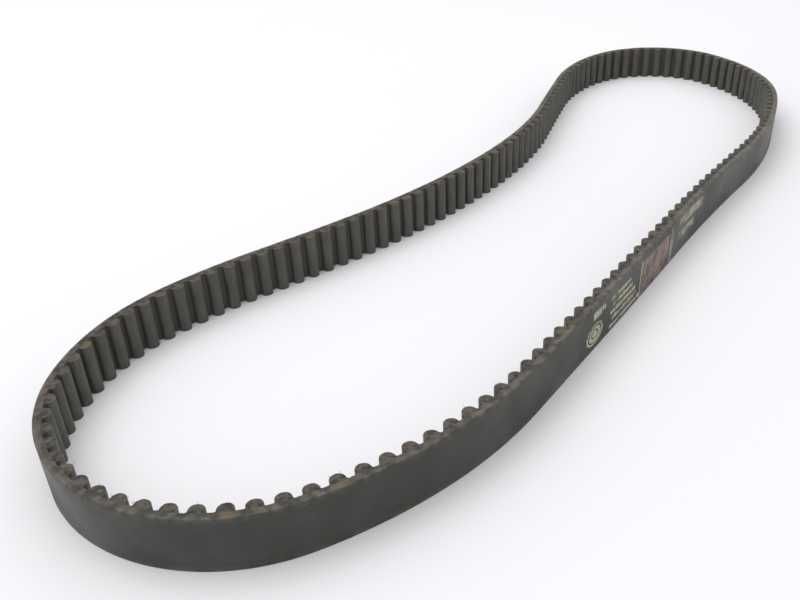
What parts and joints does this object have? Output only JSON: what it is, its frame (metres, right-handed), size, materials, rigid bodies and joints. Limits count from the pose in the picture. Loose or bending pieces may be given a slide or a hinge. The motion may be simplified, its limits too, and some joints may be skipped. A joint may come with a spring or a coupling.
{
  "type": "timing belt",
  "caption": "Endless rubber timing belt with round-profile teeth on its inner side, standing on its edge in an S-bent loop.",
  "frame": {"origin": "middle of the loop's bounding box, on the surface that the lower edge stands on", "axes": "+Z across the belt's width, up from the edge it stands on; +X along the loop's longer way, with the front run nearly along it"},
  "size_m": [0.524, 0.1676, 0.02],
  "materials": {
    "cover_rubber": "smooth moulded chloroprene rubber, matte",
    "cushion_rubber": "cut edge of the bonding rubber, matte",
    "glass_cord": "twisted glass fibre with a latex dip",
    "nylon_facing": "woven nylon moulded onto the teeth, slightly worn",
    "tooth_rubber": "cut ends of the teeth, rough and matte",
    "ink": "thin worn printing ink"
  },
  "bodies": {
    "root": {"back_cover": "cover_rubber", "cushion": "cushion_rubber", "tensile_cord_s": "glass_cord", "tensile_cord_z": "glass_cord", "tooth_facing": "nylon_facing", "teeth_01": "tooth_rubber", "teeth_02": "tooth_rubber", "teeth_03": "tooth_rubber", "teeth_04": "tooth_rubber", "teeth_05": "tooth_rubber", "teeth_06": "tooth_rubber", "teeth_07": "tooth_rubber", "teeth_08": "tooth_rubber", "teeth_09": "tooth_rubber", "teeth_10": "tooth_rubber", "teeth_11": "tooth_rubber", "teeth_12": "tooth_rubber", "teeth_13": "tooth_rubber", "teeth_14": "tooth_rubber", "teeth_15": "tooth_rubber", "print_roundel": "ink", "print_lines": "ink", "print_stripes": "ink", "print_size_bars": "ink"}
  },
  "joints": []
}
